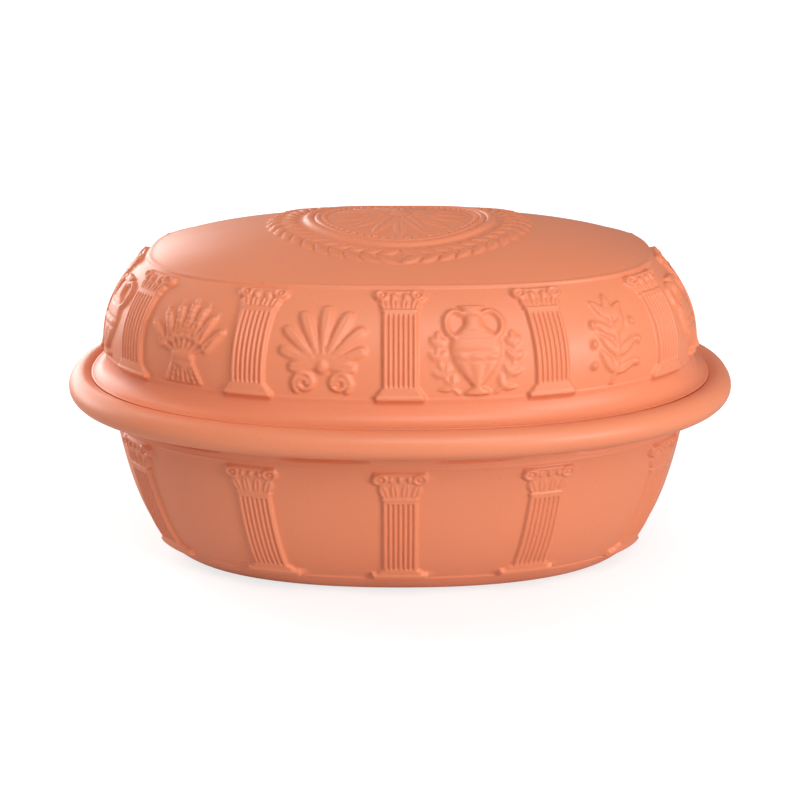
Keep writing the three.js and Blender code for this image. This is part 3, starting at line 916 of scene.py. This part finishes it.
def palmette(x, y):
    """A fan of nine petals over two scrolls."""
    y = y - MOTIF_FOOT
    petals = []
    for k in range(-FAN_SIDE_PETALS, FAN_SIDE_PETALS + 1):
        length = PETAL_LENGTH - PETAL_SHORTENING * k * k
        petals.append(petal(x, y, math.radians(90 - FAN_STEP * k), length))
    heart = bead(x, y, FAN_HEART, HEART_HALF_WIDTH, HEART_HALF_HEIGHT, HEART_PROUD)
    turns = np.linspace(0, VOLUTE_TURN, VOLUTE_POINTS)
    reach = VOLUTE_REACH * (1 - VOLUTE_CLOSING * turns / turns[-1])
    across = VOLUTE_MIDDLE[0] + reach * np.cos(turns - VOLUTE_START)
    up = VOLUTE_MIDDLE[1] + reach * np.sin(turns - VOLUTE_START)
    d = distance(np.abs(x), y, np.stack([across, up], -1))
    return highest(*petals, heart, MOTIF_PROUD * lump(d / VOLUTE_RADIUS))


MOTIFS = (jar_and_sprigs, olive_spray, jar, jar, wheat_sheaf, palmette)

# The dome: an oval medallion inside a leaf wreath. Places are shares of the medallion's radius.
MEDALLION_LENGTH = 98.0
MEDALLION_WIDTH = 90.0
MEDALLION_RADIUS = (MEDALLION_LENGTH + MEDALLION_WIDTH) / 4
FIELD_EDGE = 0.80
FIELD_SINK = 0.7
FIELD_FOLD = 1.4
# Raised rings: share, half width and rise.
MEDALLION_RINGS = ((0.955, 2.2, 1.5), (0.865, 1.5, 1.1))
RING_BEADS = 60
RING_BEAD_LONG = 1.55
RING_BEAD_WIDE = 1.5
RING_BEAD_SINK = 0.1
ROSETTE_PROUD = 1.5
ROSETTE_VEIN_WIDTH = 0.6
ROSETTE_VEIN_DEPTH = 0.4
BOSS = 0.14
BOSS_PROUD = 2.0
# Rows of the rosette: leaves, inner and outer share, half width as a share, and turn in steps.
ROSETTE_ROWS = ((16, 0.30, 0.73, 0.080, 0.5), (8, 0.12, 0.50, 0.135, 0.0))
WREATH_MIDDLE = 1.235
WREATH_LEAVES = 22
WREATH_LEAF_LENGTH = 1.45
WREATH_LEAF_WIDTH = 4.8
WREATH_LEAF_OUT = 0.4
WREATH_LEAF_LEAN = math.radians(33)
WREATH_PROUD = 1.6
WREATH_STEM_PROUD = 0.75
WREATH_STEM_HALF = 0.8
WREATH_STEM_FOLD = 1.0
WREATH_START = 3.0
WREATH_END = 4.0


def medallion_polar(x, y):
    """Share of the medallion's radius and turning angle, with its oval drawn to a circle."""
    u, v = x / (MEDALLION_LENGTH / 2), y / (MEDALLION_WIDTH / 2)
    return np.hypot(u, v), np.arctan2(v, u)


def rosette_row(rho, theta, count, low, high, wide, turned_by):
    """A ring of grooved leaves that point outwards."""
    slide = (theta * count / (2 * np.pi) + turned_by) % 1 - 0.5
    t = np.clip((rho - low) / (high - low), 0, 1)
    half = wide * MEDALLION_RADIUS * np.sin(np.pi * t**0.75) ** 0.8 + TINY
    across = slide * 2 * np.pi * rho / count * MEDALLION_RADIUS
    body = lump(across / half) ** 0.8 * (rho > low) * (rho < high)
    return ROSETTE_PROUD * body * vein(across, ROSETTE_VEIN_WIDTH, ROSETTE_VEIN_DEPTH) - FIELD_SINK


def medallion_relief(x, y):
    """Two raised rings, a ring of beads and a rosette of leaves on a sunk field."""
    rho, theta = medallion_polar(x, y)
    size = MEDALLION_RADIUS
    out = rho * size
    field = -FIELD_SINK * inside(FIELD_EDGE * size - out, FIELD_FOLD)
    rings = [proud * lump((out - share * size) / half) for share, half, proud in MEDALLION_RINGS]
    slide = (theta * RING_BEADS / (2 * np.pi) + 0.5) % 1 - 0.5
    around = slide * 2 * np.pi * FIELD_EDGE * size / RING_BEADS
    beads = lump(np.hypot(around / RING_BEAD_LONG, (out - FIELD_EDGE * size) / RING_BEAD_WIDE))
    rosette = [rosette_row(rho, theta, *row) for row in ROSETTE_ROWS]
    boss = BOSS_PROUD * lump(rho / BOSS) - FIELD_SINK
    return highest(field, *rings, beads - RING_BEAD_SINK, *rosette, boss)


def wreath_relief(x, y):
    """Two rows of laurel leaves that run round the medallion from its back to its front."""
    rho, theta = medallion_polar(np.abs(x), y)
    along = (np.pi / 2 - theta) * WREATH_MIDDLE * MEDALLION_RADIUS
    across = (rho - WREATH_MIDDLE) * MEDALLION_RADIUS
    whole = np.pi * WREATH_MIDDLE * MEDALLION_RADIUS
    pitch = whole / (WREATH_LEAVES + 0.5)
    ends = np.minimum(along - WREATH_START, whole - WREATH_END - along)
    rises = [WREATH_STEM_PROUD * lump(across / WREATH_STEM_HALF) * inside(ends, WREATH_STEM_FOLD)]
    length = WREATH_LEAF_LENGTH * pitch
    for k in range(WREATH_LEAVES):
        for side in (-1, 1):
            foot = ((k + 0.25) * pitch, side * WREATH_LEAF_OUT)
            lean = side * WREATH_LEAF_LEAN
            rises.append(leaf(along, across, foot, lean, length, WREATH_LEAF_WIDTH, WREATH_PROUD))
    return highest(*rises)


class Dome:
    """Heights of the lid's dome over its plan."""

    def __init__(self, edge, middle_z):
        self.a, self.b = ring_sizes(edge[0])
        shoulder = (self.a - DOME_SHOULDER_RUN, edge[1] + DOME_SHOULDER_RISE)
        line = bezier((self.a, edge[1]), shoulder, (DOME_CROWN_RUN, middle_z), (0, middle_z))
        self.line = line[::-1]

    def half_width(self, share):
        """Half the width of a ring, which is narrower near the middle than its share of the edge."""
        return self.b * share * (1 - DOME_PINCH * (1 - share))

    def ring(self, share, angle):
        x, y, _, _ = oval(self.a * share, self.half_width(share), CREASE_POWER, angle)
        return x, y

    def ring_height(self, share):
        return np.interp(self.a * share, self.line[:, 0], self.line[:, 1])

    def height(self, x, y, halvings=40):
        """Height over points of the plan, from the ring that passes through each."""
        low, high = np.full_like(x, TINY), np.ones_like(x)
        for _ in range(halvings):
            share = (low + high) / 2
            reach = np.abs(x / (self.a * share)) ** CREASE_POWER
            out = reach + np.abs(y / self.half_width(share)) ** CREASE_POWER > 1
            low, high = np.where(out, share, low), np.where(out, high, share)
        return self.ring_height(high)


def round_edge(inset, low_z, thickness, steps=14):
    r = thickness / 2
    t = np.linspace(-np.pi / 2, -3 * np.pi / 2, steps + 1)
    return np.stack([inset + r + r * np.cos(t), low_z + r + r * np.sin(t)], -1)


def rim_roll(steps=7):
    """The rim's roll past its crown, down to the seat inside it."""
    t = np.pi / 2 - np.linspace(0, roll_angle, steps + 1)[1:]
    return np.stack([rim_radius * (1 + np.cos(t)), BASE_HEIGHT - rim_radius * (1 - np.sin(t))], -1)


def lid_toe(steps=8):
    """The lid's edge: a thin toe that lies a gap off the rim's roll, up to a blunt tip."""
    r, middle_z = rim_radius + SEAT_GAP, BASE_HEIGHT - rim_radius
    t = np.linspace(math.acos((seat_z - middle_z) / r), TOE_ANGLE, steps + 1)
    under = np.stack([rim_radius + r * np.sin(t), middle_z + r * np.cos(t)], -1)
    return np.concatenate([under, under[-1:] + TOE_TIP])


def cove(start, corner, end, steps=6):
    t = np.linspace(0, 1, steps + 1)[:, None]
    start, corner, end = np.array(start), np.array(corner), np.array(end)
    return (1 - t) ** 2 * start + 2 * t * (1 - t) * corner + t * t * end


def base_pilaster(wall_length):
    head = wall_length - BASE_CAPITAL_DROP
    size = Pilaster(foot=20.0, slab=4.0, step=3.0, head=head, capital=14.5, beads=3, lift=0.8)
    size.widths(plinth=28.0, step=23.0, shaft=17.0, capital=27.4, scroll=2.9)
    return size


def lid_pilaster(wall_length):
    head = wall_length - LID_CAPITAL_DROP
    size = Pilaster(foot=0.0, slab=2.6, step=3.4, head=head, capital=11.0, beads=2, lift=0.92)
    size.widths(plinth=24.0, step=22.4, shaft=16.4, capital=24.2, scroll=2.6)
    return size


def base_bands(ups, size, length):
    """A band over the foot, a line over the capitals and a groove under the rim."""
    band = FOOT_BAND_PROUD * inside(size.foot - FOOT_BAND_DROP - ups, FOOT_BAND_FOLD)
    band = band * ease(ups / FOOT_BAND_RUN)
    within = np.minimum(ups - size.head - HEAD_LINE_LOW, size.head + HEAD_LINE_HIGH - ups)
    line = HEAD_LINE_PROUD * inside(within, HEAD_LINE_FOLD)
    groove = -RIM_GROOVE_DEPTH * inside(ups - length + RIM_GROOVE_HEIGHT, RIM_GROOVE_FOLD)
    return band + line + groove


def base_wall():
    curve = base_wall_curve((FOOT_INSET, 0), (BASE_WALL_INSET, wall_head_z))
    size = base_pilaster(curve.length)
    fine_foot = [size.foot - BASE_FINE_BELOW, size.shaft_low + BASE_FINE_ABOVE]
    fine_head = [size.shaft_high - BASE_FINE_BELOW, size.head + HEAD_FINE]
    ups = graded([0] + fine_foot + fine_head + [curve.length], BASE_CELLS)
    arcs = np.array(BASE_ARCS)
    centres = arcs_to_angles(BASE_WALL_INSET, RIM_POWER,
                             lambda whole: np.concatenate([arcs, arcs + whole / 2]))
    wall = Wall(curve, base_power, ups, size, centres, BASE_PANEL_CELL)
    wall.relief = wall.relief + base_bands(ups, size, curve.length)[:, None]
    wall.pilasters()
    wall.relief = blur(wall.relief, SMOOTHING)
    return wall


def base_foot(skin, plain):
    """The recess under the pot and the ring that it stands on."""
    foot_inner = FOOT_INSET + FOOT_RING_WIDTH
    recess = [(foot_inner + s, FOOT_RECESS) for s in FOOT_RINGS]
    skin.pole(FOOT_RECESS, "plan_foot")
    skin.sweep(recess + [(foot_inner, 0), (FOOT_INSET + HEEL_BREAK, 0)], base_power, plain, "plan_foot")


def base_rim(skin, plain, wall_angles):
    """The cove under the rim, its roll, the seat inside it and the ledge in the mouth."""
    head, corner = (BASE_WALL_INSET, wall_head_z), (BASE_WALL_INSET, rim_under)
    under = cove(head, corner, (BASE_WALL_INSET - RIM_COVE, rim_under))[1:]
    skin.sweep(under, base_power, wall_angles, "strip_wall")
    skin.sweep(round_edge(0, rim_under, RIM_THICKNESS), base_power, plain, "strip_wall")
    skin.sweep(rim_roll(), base_power, plain, "strip_wall")
    ledge = [
        (ledge_inset - SEAT_BREAK, rim_seat_z),
        (ledge_inset, rim_seat_z - SEAT_BREAK),
        (ledge_inset, ledge_z + LEDGE_BREAK),
        (ledge_inset + LEDGE_BREAK, ledge_z),
        (mouth_inset - MOUTH_BREAK, ledge_z),
        (mouth_inset, ledge_z - MOUTH_BREAK),
    ]
    skin.sweep(ledge, base_power, plain, "strip_inside")


def base_inside(skin, plain):
    foot = FOOT_INSET + FLOOR_CORNER
    inner = base_wall_curve((foot, WALL), (mouth_inset, wall_head_z))
    section = inner.at(np.linspace(inner.length, 0, BASE_INSIDE_RINGS))
    skin.sweep(section, base_power, plain, "strip_inside")
    skin.sweep([(foot + s, WALL) for s in FLOOR_RINGS], base_power, plain, "plan_floor")
    skin.pole(WALL, "plan_floor")


def base_skin():
    wall = base_wall()
    skin = Skin()
    plain = even_angles(PLAIN_COLUMNS, wall.angle[0, 0])
    base_foot(skin, plain)
    skin.rows(wall)
    base_rim(skin, plain, wall.angle[-1])
    base_inside(skin, plain)
    return skin.mesh("base_terracotta")


def lid_bands(ups, length):
    """A small ledge at the lid's foot and a ridge at its crease."""
    ledge = LID_LEDGE_PROUD * inside(LID_LEDGE_HEIGHT - ups, LID_BAND_FOLD)
    return ledge + CREASE_RIDGE_PROUD * inside(ups - length + CREASE_RIDGE_HEIGHT, LID_BAND_FOLD)


def lid_wall():
    curve = lid_wall_curve((LID_WALL_INSET, lid_foot_z), crease)
    size = lid_pilaster(curve.length)
    fine = [size.shaft_low + LID_FINE, size.shaft_high - LID_FINE, size.head + HEAD_FINE]
    ups = graded([0] + fine + [curve.length - CREASE_FINE, curve.length], LID_CELLS)
    middle = curve.at(curve.length / 2)
    shares = np.array(LID_SHARES)
    centres = arcs_to_angles(middle[0], lid_power(middle[1]),
                             lambda whole: np.concatenate([shares, shares + 2]) * whole / 4)
    wall = Wall(curve, lid_power, ups, size, centres, LID_PANEL_CELL)
    for k, part in enumerate(wall.panels):
        wall.relief[:, part] = MOTIFS[k % len(MOTIFS)](wall.panel_across(part), ups[:, None])
    wall.relief = np.maximum(wall.relief, lid_bands(ups, curve.length)[:, None])
    wall.pilasters()
    wall.relief = blur(wall.relief, SMOOTHING)
    return wall


def lid_inside(skin, plain):
    """The hollow under the dome, the inner wall and the lip."""
    hollow = Dome(inner_crease, TOP - WALL)
    skin.pole(TOP - WALL, "plan_under")
    for share in HOLLOW_SHARES:
        x, y = hollow.ring(share, plain)
        z = np.full_like(x, hollow.ring_height(share))
        skin.ring(np.stack([x, y, z], -1), plain, "plan_under")
    inner = lid_wall_curve((LID_WALL_INSET + WALL, lid_foot_z), inner_crease)
    section = inner.at(np.linspace(inner.length, 0, LID_INSIDE_RINGS))
    skin.sweep(section, lid_power, plain, "strip_inside")
    lip = [
        (lip_inner, lip_z + LIP_BREAK),
        (lip_inner - LIP_BREAK, lip_z),
        (lip_outer + LIP_BREAK, lip_z),
        (lip_outer, lip_z + LIP_BREAK),
        (lip_outer, seat_z - LIP_ROOT_BREAK),
        (lip_outer - LIP_ROOT_BREAK, seat_z),
    ]
    skin.sweep(lip, lid_power, plain, "strip_inside")


def lid_foot(skin, plain, wall):
    """The toe on the rim, and the sweep from it up to the wall, where the plinths run out."""
    toe = lid_toe()
    skin.sweep(toe, lid_power, plain, "strip_wall")
    corner = (LID_WALL_INSET, toe[-1][1])
    foot = cove(toe[-1], corner, (LID_WALL_INSET, lid_foot_z), LID_FOOT_RINGS)
    near = foot[:, 1] > lid_foot_z - PLINTH_REACH
    skin.sweep(foot[1:][~near[1:]], lid_power, plain, "strip_wall")
    for inset, z in foot[near][:-1]:
        x, y, nx, ny = oval(*ring_sizes(inset), lid_power(z), wall.angle[0])
        rise = wall.relief[0] * inside(z - lid_foot_z + PLINTH_SINK, PLINTH_FOLD)
        points = np.stack([x + nx * rise, y + ny * rise, np.full_like(x, z)], -1)
        skin.ring(points, wall.angle[0], "strip_wall")


def lid_dome(skin, start):
    """Rings that pass from the crease's outline to the medallion's, and on to its middle."""
    dome = Dome(crease, TOP)
    angles = even_angles(DOME_COLUMNS, start)
    edge_x, edge_y = dome.ring(1.0, angles)
    half_length, half_width = MEDALLION_LENGTH / 2, MEDALLION_WIDTH / 2
    around_x, around_y = half_length * np.cos(angles), half_width * np.sin(angles)
    for share in DOME_SHARES:
        x = edge_x + (around_x - edge_x) * share
        y = edge_y + (around_y - edge_y) * share
        z = dome.height(x, y) + highest(wreath_relief(x, y), medallion_relief(x, y))
        skin.ring(np.stack([x, y, z], -1), angles, "plan_dome")
    for low, high, cell, keep in MEDALLION_STRETCHES:
        few = angles[::keep]
        for rho in np.arange(high, low, -cell / half_length)[1:]:
            x, y = half_length * rho * np.cos(few), half_width * rho * np.sin(few)
            z = dome.height(x, y) + medallion_relief(x, y)
            skin.ring(np.stack([x, y, z], -1), few, "plan_dome")
    middle = np.zeros(1)
    skin.pole(TOP + medallion_relief(middle, middle)[0], "plan_dome")


def lid_skin():
    wall = lid_wall()
    skin = Skin()
    plain = even_angles(PLAIN_COLUMNS, wall.angle[0, 0])
    lid_inside(skin, plain)
    lid_foot(skin, plain, wall)
    skin.rows(wall)
    lid_dome(skin, wall.angle[-1, 0])
    return skin.mesh("lid_terracotta")


# Looks of the clay: its colours, and the sizes of its clouds, specks and grain as noise scales.
CLAY = (0.79, 0.238, 0.115)
CLAY_PALE = (0.81, 0.260, 0.131)
CLAY_DEEP = (0.64, 0.165, 0.075)
SHEEN = 0.42
ROUGHNESS = (0.36, 0.48)
CLOUD_SCALE = 11
CLOUD_RANGE = (0.25, 0.8)
SPECK_SCALE = 900
SPECK_RANGE = (0.66, 0.85)
GLOSS_SCALE = 40
GRAIN_SCALE = 1400
GRAIN_STRENGTH = 0.12
GRAIN_DEPTH = 0.0003


def add_node(tree, kind, **values):
    """A new node with constant values on its sockets, which are named with spaces for underscores."""
    node = tree.nodes.new(kind)
    for name, value in values.items():
        node.inputs[name.replace("_", " ")].default_value = value
    return node


def noise(tree, coords, scale, detail):
    node = add_node(tree, "ShaderNodeTexNoise", Scale=scale, Detail=detail)
    tree.links.new(coords.outputs["Object"], node.inputs["Vector"])
    return node.outputs["Fac"]


def map_range(tree, source, **values):
    node = add_node(tree, "ShaderNodeMapRange", **values)
    tree.links.new(source, node.inputs["Value"])
    return node.outputs["Result"]


def mix_colours(tree, amount):
    """A colour mix, with the sockets of its two colours and of its result."""
    node = tree.nodes.new("ShaderNodeMix")
    node.data_type = "RGBA"
    tree.links.new(amount, node.inputs["Factor"])
    first, second = (socket for socket in node.inputs if socket.type == "RGBA")
    result = next(socket for socket in node.outputs if socket.type == "RGBA")
    return first, second, result


def clay_colour(tree, coords):
    """Pale clouds in the clay, and fine dark specks."""
    low, high = CLOUD_RANGE
    amount = map_range(tree, noise(tree, coords, CLOUD_SCALE, 3), From_Min=low, From_Max=high)
    first, second, cloud = mix_colours(tree, amount)
    first.default_value = (*CLAY, 1)
    second.default_value = (*CLAY_PALE, 1)
    low, high = SPECK_RANGE
    amount = map_range(tree, noise(tree, coords, SPECK_SCALE, 2), From_Min=low, From_Max=high)
    first, second, speck = mix_colours(tree, amount)
    tree.links.new(cloud, first)
    second.default_value = (*CLAY_DEEP, 1)
    return speck


def terracotta():
    material = bpy.data.materials.new("terracotta")
    material.use_nodes = True
    tree = material.node_tree
    shader = tree.nodes["Principled BSDF"]
    coords = tree.nodes.new("ShaderNodeTexCoord")
    tree.links.new(clay_colour(tree, coords), shader.inputs["Base Color"])
    shader.inputs["Specular IOR Level"].default_value = SHEEN
    low, high = ROUGHNESS
    rough = map_range(tree, noise(tree, coords, GLOSS_SCALE, 3), To_Min=low, To_Max=high)
    tree.links.new(rough, shader.inputs["Roughness"])
    bump = add_node(tree, "ShaderNodeBump", Strength=GRAIN_STRENGTH, Distance=GRAIN_DEPTH)
    tree.links.new(noise(tree, coords, GRAIN_SCALE, 3), bump.inputs["Height"])
    tree.links.new(bump.outputs["Normal"], shader.inputs["Normal"])
    return material


def piece(name, mesh, body, node, material):
    mesh.materials.append(material)
    obj = bpy.data.objects.new(name, mesh)
    bpy.context.scene.collection.objects.link(obj)
    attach(obj, body)
    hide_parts(node)


clay = terracotta()
piece("base_clay", base_skin(), "base", "roaster_base", clay)
piece("lid_clay", lid_skin(), "lid", "roaster_lid", clay)


# Studio, in metres. To the camera the floor glows to white away from the part, and it keeps the shadow.
FLOOR_HALF = 8.0
FLOOR_WHITE = 0.68
FLOOR_SHADE = 0.3
FLOOR_GLOW = 0.74
GLOW_NEAR = 0.1
GLOW_FAR = 0.32
AMBIENT = 0.27
LAMP_DISTANCE = 1.7
LAMP_AIM = 0.09
# Lamps: degrees to the right from the front, degrees up, width and height, and level.
LAMPS = {
    "right": (45, 12, 0.6, 0.6, 0.49),
    "front": (15, 45, 0.8, 0.8, 0.44),
    "left": (-115, 12, 0.8, 0.8, 0.4),
    "left_high": (-115, 45, 0.8, 0.8, 0.14),
    "back_left": (-146, 14, 1.0, 0.8, 0.48),
}
CAMERA_LENS = 89.35
CAMERA_SENSOR = 36.0
CAMERA_BACK = 1.0
CAMERA_HEIGHT = 0.39714
CAMERA_TILT = 0.30653


def floor_material():
    """To the camera a darker floor that glows more away from the part, to other rays a plain pale one."""
    material = bpy.data.materials.new("studio_floor")
    material.use_nodes = True
    tree = material.node_tree
    links = tree.links
    tree.nodes.clear()
    ray = tree.nodes.new("ShaderNodeLightPath")
    white = add_node(tree, "ShaderNodeBsdfDiffuse", Color=(FLOOR_WHITE,) * 3 + (1,))
    shade = add_node(tree, "ShaderNodeBsdfDiffuse", Color=(FLOOR_SHADE,) * 3 + (1,))
    coords = tree.nodes.new("ShaderNodeTexCoord")
    reach = tree.nodes.new("ShaderNodeVectorMath")
    reach.operation = "LENGTH"
    links.new(coords.outputs["Object"], reach.inputs[0])
    near_to_far = {"From_Min": GLOW_NEAR, "From_Max": GLOW_FAR, "To_Min": FLOOR_GLOW}
    glow = tree.nodes.new("ShaderNodeEmission")
    links.new(map_range(tree, reach.outputs["Value"], **near_to_far), glow.inputs["Strength"])
    seen = tree.nodes.new("ShaderNodeAddShader")
    links.new(shade.outputs[0], seen.inputs[0])
    links.new(glow.outputs[0], seen.inputs[1])
    pick = tree.nodes.new("ShaderNodeMixShader")
    links.new(ray.outputs["Is Camera Ray"], pick.inputs[0])
    links.new(white.outputs[0], pick.inputs[1])
    links.new(seen.outputs[0], pick.inputs[2])
    out = tree.nodes.new("ShaderNodeOutputMaterial")
    links.new(pick.outputs[0], out.inputs["Surface"])
    return material


def studio_floor():
    mesh = bpy.data.meshes.new("studio_floor")
    h = FLOOR_HALF
    mesh.from_pydata([(-h, -h, 0), (h, -h, 0), (h, h, 0), (-h, h, 0)], [], [(0, 1, 2, 3)])
    mesh.materials.append(floor_material())
    floor = bpy.data.objects.new("studio_floor", mesh)
    bpy.context.scene.collection.objects.link(floor)


def lamp(name, round_by, up_by, width, height, level):
    """A soft lamp that lights a surface facing it to the given level."""
    turn, lift = math.radians(round_by), math.radians(up_by)
    way = (math.sin(turn) * math.cos(lift), -math.cos(turn) * math.cos(lift), math.sin(lift))
    data = bpy.data.lights.new(name, "AREA")
    data.shape = "RECTANGLE"
    data.size = width
    data.size_y = height
    data.energy = level * math.pi**2 * LAMP_DISTANCE**2
    obj = bpy.data.objects.new(name, data)
    direction = Vector(way).normalized()
    obj.location = Vector((0, 0, LAMP_AIM)) + direction * LAMP_DISTANCE
    obj.rotation_euler = (-direction).to_track_quat("-Z", "Y").to_euler()
    obj.visible_camera = False
    bpy.context.scene.collection.objects.link(obj)


def studio_light():
    """A white world that lights the part faintly, and the lamps."""
    world = bpy.data.worlds.new("studio")
    bpy.context.scene.world = world
    world.use_nodes = True
    tree = world.node_tree
    back = tree.nodes["Background"]
    ray = tree.nodes.new("ShaderNodeLightPath")
    level = map_range(tree, ray.outputs["Is Camera Ray"], To_Min=AMBIENT, To_Max=1.0)
    tree.links.new(level, back.inputs["Strength"])
    back.inputs["Color"].default_value = (1, 1, 1, 1)
    for name, values in LAMPS.items():
        lamp(name, *values)


def photo_camera():
    data = bpy.data.cameras.new("photo_camera")
    data.lens = CAMERA_LENS
    data.sensor_width = CAMERA_SENSOR
    camera = bpy.data.objects.new("photo_camera", data)
    camera.location = (0, -CAMERA_BACK, CAMERA_HEIGHT)
    camera.rotation_euler = (math.pi / 2 - CAMERA_TILT, 0, 0)
    bpy.context.scene.collection.objects.link(camera)
    bpy.context.scene.camera = camera


studio_floor()
studio_light()
photo_camera()
bpy.context.scene.view_settings.view_transform = "Standard"
